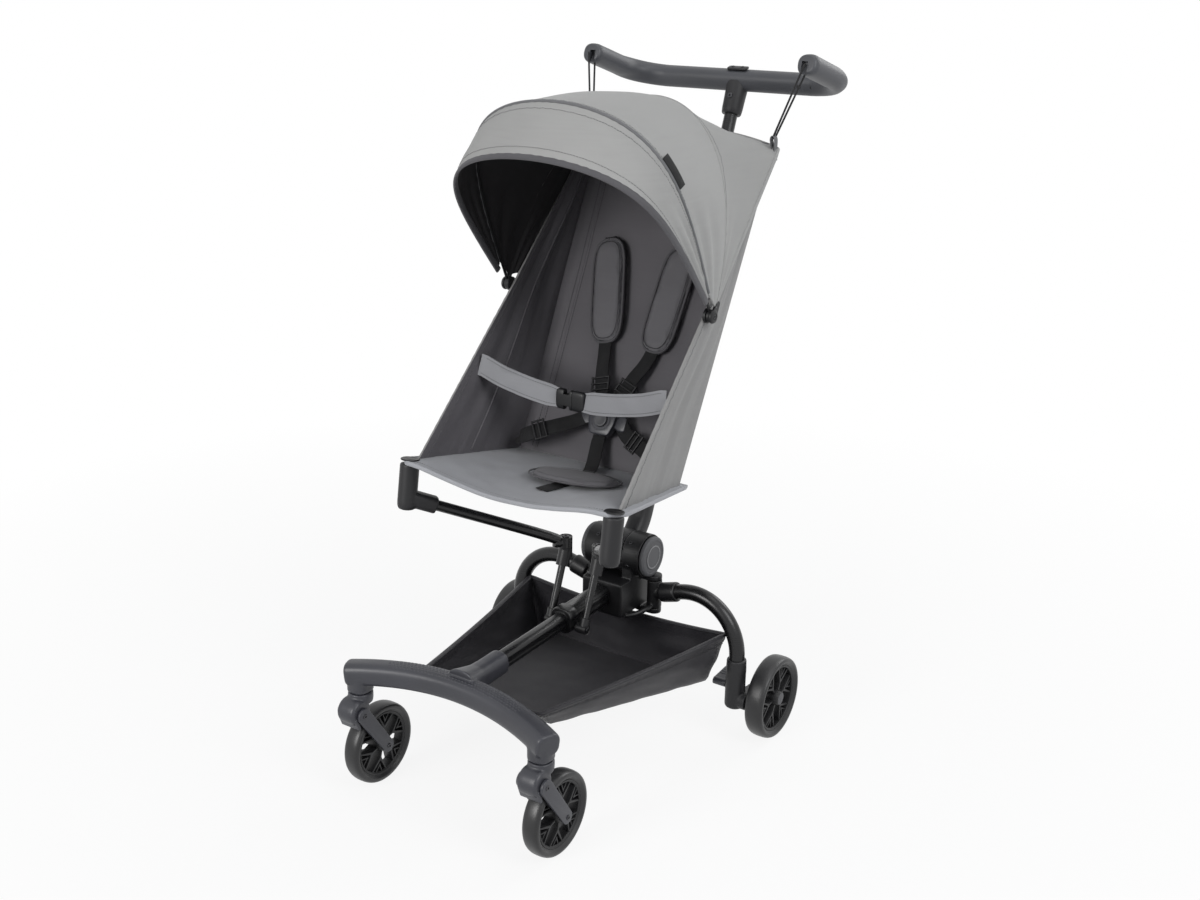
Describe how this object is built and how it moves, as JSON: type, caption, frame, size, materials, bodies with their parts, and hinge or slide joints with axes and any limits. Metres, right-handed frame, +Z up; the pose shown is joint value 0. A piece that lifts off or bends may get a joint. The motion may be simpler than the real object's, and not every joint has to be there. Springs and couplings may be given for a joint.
{
  "type": "pushchair",
  "caption": "Compact folding pushchair with one central push pole, cloth seat and canopy, swivelling front casters, harness and basket.",
  "frame": {"origin": "on the floor in the middle of the overall box", "axes": "+Z up, the child faces -Y, +X to the pusher's left"},
  "size_m": [0.5232, 0.7827, 1.015],
  "materials": {
    "satin_black_tube": "satin black anodised",
    "dark_grey_plastic": "fine matte",
    "black_plastic": "matte",
    "tyre": "smooth semi-gloss",
    "steel": "satin",
    "grey_cloth": "woven",
    "dark_cloth": "woven",
    "black_cloth": "woven",
    "webbing": "woven tape",
    "grip": "soft matte"
  },
  "bodies": {
    "chassis": {"hub_housing": "black_plastic", "hub_cap_left": "dark_grey_plastic", "hub_cap_right": "dark_grey_plastic", "hub_pin": "steel", "centre_sleeve": "satin_black_tube", "strut_left": "satin_black_tube", "strut_right": "satin_black_tube", "basket": "black_cloth", "seat_base": "grey_cloth"},
    "front_frame": {"centre_tube": "satin_black_tube", "front_crossbar": "dark_grey_plastic"},
    "pole": {"pole_knuckle": "dark_grey_plastic", "pole_outer_tube": "satin_black_tube", "seat_sling": "dark_cloth", "canopy_hood": "grey_cloth", "canopy_clip_left": "black_plastic", "canopy_clip_right": "black_plastic", "shoulder_strap_left": "dark_cloth", "shoulder_strap_right": "dark_cloth", "waist_strap_right": "webbing"},
    "handle": {"pole_inner_tube": "satin_black_tube", "handle_bracket": "dark_grey_plastic", "handle_bar": "grip", "release_rod": "steel", "suspension_cord_left": "webbing", "suspension_cord_right": "webbing"},
    "release_slider": {"release_slider": "black_plastic"},
    "canopy": {"canopy_bow": "black_plastic", "canopy_visor": "grey_cloth"},
    "harness": {"harness_buckle": "dark_grey_plastic", "crotch_strap": "webbing", "crotch_pad": "dark_cloth"},
    "buckle_button": {"buckle_button": "dark_grey_plastic"},
    "waist_tongue": {"waist_strap_left": "webbing"},
    "caster_left": {"caster_housing_left": "dark_grey_plastic", "caster_fork_left": "dark_grey_plastic"},
    "wheel_front_left": {"front_tyre_left": "tyre", "front_rim_left": "black_plastic"},
    "wheel_rear_left": {"rear_tyre_left": "tyre", "rear_rim_left": "black_plastic"},
    "leg_left": {"leg_bracket_left": "black_plastic", "leg_tube_left": "satin_black_tube", "leg_foot_left": "dark_grey_plastic"},
    "arm_left": {"seat_arm_left": "satin_black_tube", "seat_post_left": "dark_grey_plastic"},
    "hip_left": {"hip_strap_left": "webbing"},
    "caster_right": {"caster_housing_right": "dark_grey_plastic", "caster_fork_right": "dark_grey_plastic"},
    "wheel_front_right": {"front_tyre_right": "tyre", "front_rim_right": "black_plastic"},
    "wheel_rear_right": {"rear_tyre_right": "tyre", "rear_rim_right": "black_plastic"},
    "leg_right": {"leg_bracket_right": "black_plastic", "leg_tube_right": "satin_black_tube", "leg_foot_right": "dark_grey_plastic"},
    "arm_right": {"seat_arm_right": "satin_black_tube", "seat_post_right": "dark_grey_plastic"},
    "hip_right": {"hip_strap_right": "webbing"},
    "brake": {"brake_pedal": "dark_grey_plastic"}
  },
  "joints": [
    {"name": "pole_fold", "type": "hinge", "parent": "chassis", "child": "pole", "pos_m": [0, 0.07019, 0.268], "axis": [1, 0, 0], "range_deg": [0, 90], "deforming": ["seat_sling", "seat_base", "basket", "shoulder_strap_left", "shoulder_strap_right", "crotch_strap", "crotch_pad", "waist_strap_right", "canopy_hood"]},
    {"name": "handle_telescope", "type": "slide", "parent": "pole", "child": "handle", "axis": [0, -0.3616, -0.9323], "range_m": [0, 0.28], "deforming": ["suspension_cord_left", "suspension_cord_right"]},
    {"name": "front_slide", "type": "slide", "parent": "chassis", "child": "front_frame", "axis": [0, 0.999, 0.0436], "range_m": [0, 0.1385]},
    {"name": "caster_swivel_left", "type": "hinge", "parent": "front_frame", "child": "caster_left", "pos_m": [0.1575, -0.35681, 0.157], "axis": [0, 0, 1], "continuous": true},
    {"name": "front_wheel_spin_left", "type": "hinge", "parent": "caster_left", "child": "wheel_front_left", "pos_m": [0.1575, -0.32481, 0.06], "axis": [1, 0, 0], "continuous": true},
    {"name": "leg_fold_left", "type": "hinge", "parent": "chassis", "child": "leg_left", "pos_m": [0.055, 0.08019, 0.2045], "axis": [0, 0, 1], "range_deg": [0, 55.2]},
    {"name": "rear_wheel_spin_left", "type": "hinge", "parent": "leg_left", "child": "wheel_rear_left", "pos_m": [0.2456, 0.12519, 0.0645], "axis": [1, 0, 0], "continuous": true},
    {"name": "arm_fold_left", "type": "hinge", "parent": "chassis", "child": "arm_left", "pos_m": [0.03, -0.04081, 0.31], "axis": [0, 0, 1], "range_deg": [-34.2, 0]},
    {"name": "hip_tongue_left", "type": "slide", "parent": "harness", "child": "hip_left", "axis": [1, 0, 0], "range_m": [0, 0.02], "deforming": ["hip_strap_left"]},
    {"name": "caster_swivel_right", "type": "hinge", "parent": "front_frame", "child": "caster_right", "pos_m": [-0.1575, -0.35681, 0.157], "axis": [0, 0, 1], "continuous": true},
    {"name": "front_wheel_spin_right", "type": "hinge", "parent": "caster_right", "child": "wheel_front_right", "pos_m": [-0.1575, -0.32481, 0.06], "axis": [1, 0, 0], "continuous": true},
    {"name": "leg_fold_right", "type": "hinge", "parent": "chassis", "child": "leg_right", "pos_m": [-0.055, 0.08019, 0.2045], "axis": [0, 0, 1], "range_deg": [-55.2, 0]},
    {"name": "rear_wheel_spin_right", "type": "hinge", "parent": "leg_right", "child": "wheel_rear_right", "pos_m": [-0.2456, 0.12519, 0.0645], "axis": [1, 0, 0], "continuous": true},
    {"name": "arm_fold_right", "type": "hinge", "parent": "chassis", "child": "arm_right", "pos_m": [-0.03, -0.04081, 0.31], "axis": [0, 0, 1], "range_deg": [0, 34.2]},
    {"name": "hip_tongue_right", "type": "slide", "parent": "harness", "child": "hip_right", "axis": [-1, 0, 0], "range_m": [0, 0.02], "deforming": ["hip_strap_right"]},
    {"name": "brake_press", "type": "hinge", "parent": "leg_left", "child": "brake", "pos_m": [0.1893, 0.08019, 0.088], "axis": [-1, 0, 0], "range_deg": [0, 20]},
    {"name": "canopy_fold", "type": "hinge", "parent": "pole", "child": "canopy", "pos_m": [0, 0.00719, 0.676], "axis": [-1, 0, 0], "range_deg": [0, 60]},
    {"name": "release_slide", "type": "slide", "parent": "handle", "child": "release_slider", "axis": [1, 0, 0], "range_m": [0, 0.006], "stiffness_N_per_m": 250},
    {"name": "harness_fold", "type": "slide", "parent": "pole", "child": "harness", "axis": [0, 0.9323, -0.3616], "range_m": [0, 0.0885]},
    {"name": "buckle_press", "type": "slide", "parent": "harness", "child": "buckle_button", "axis": [0, 0.9036, -0.4283], "range_m": [0, 0.0025], "stiffness_N_per_m": 600},
    {"name": "waist_clip", "type": "slide", "parent": "pole", "child": "waist_tongue", "axis": [1, 0, 0], "range_m": [0, 0.022], "deforming": ["waist_strap_left"]}
  ],
  "couplings": [
    {"joint": "front_slide", "follows": "pole_fold", "m_per_rad": 0.087854},
    {"joint": "leg_fold_left", "follows": "pole_fold", "ratio": 0.61111},
    {"joint": "leg_fold_right", "follows": "pole_fold", "ratio": -0.61111},
    {"joint": "arm_fold_left", "follows": "pole_fold", "ratio": -0.37778},
    {"joint": "arm_fold_right", "follows": "pole_fold", "ratio": 0.37778},
    {"joint": "harness_fold", "follows": "pole_fold", "m_per_rad": 0.056023}
  ]
}
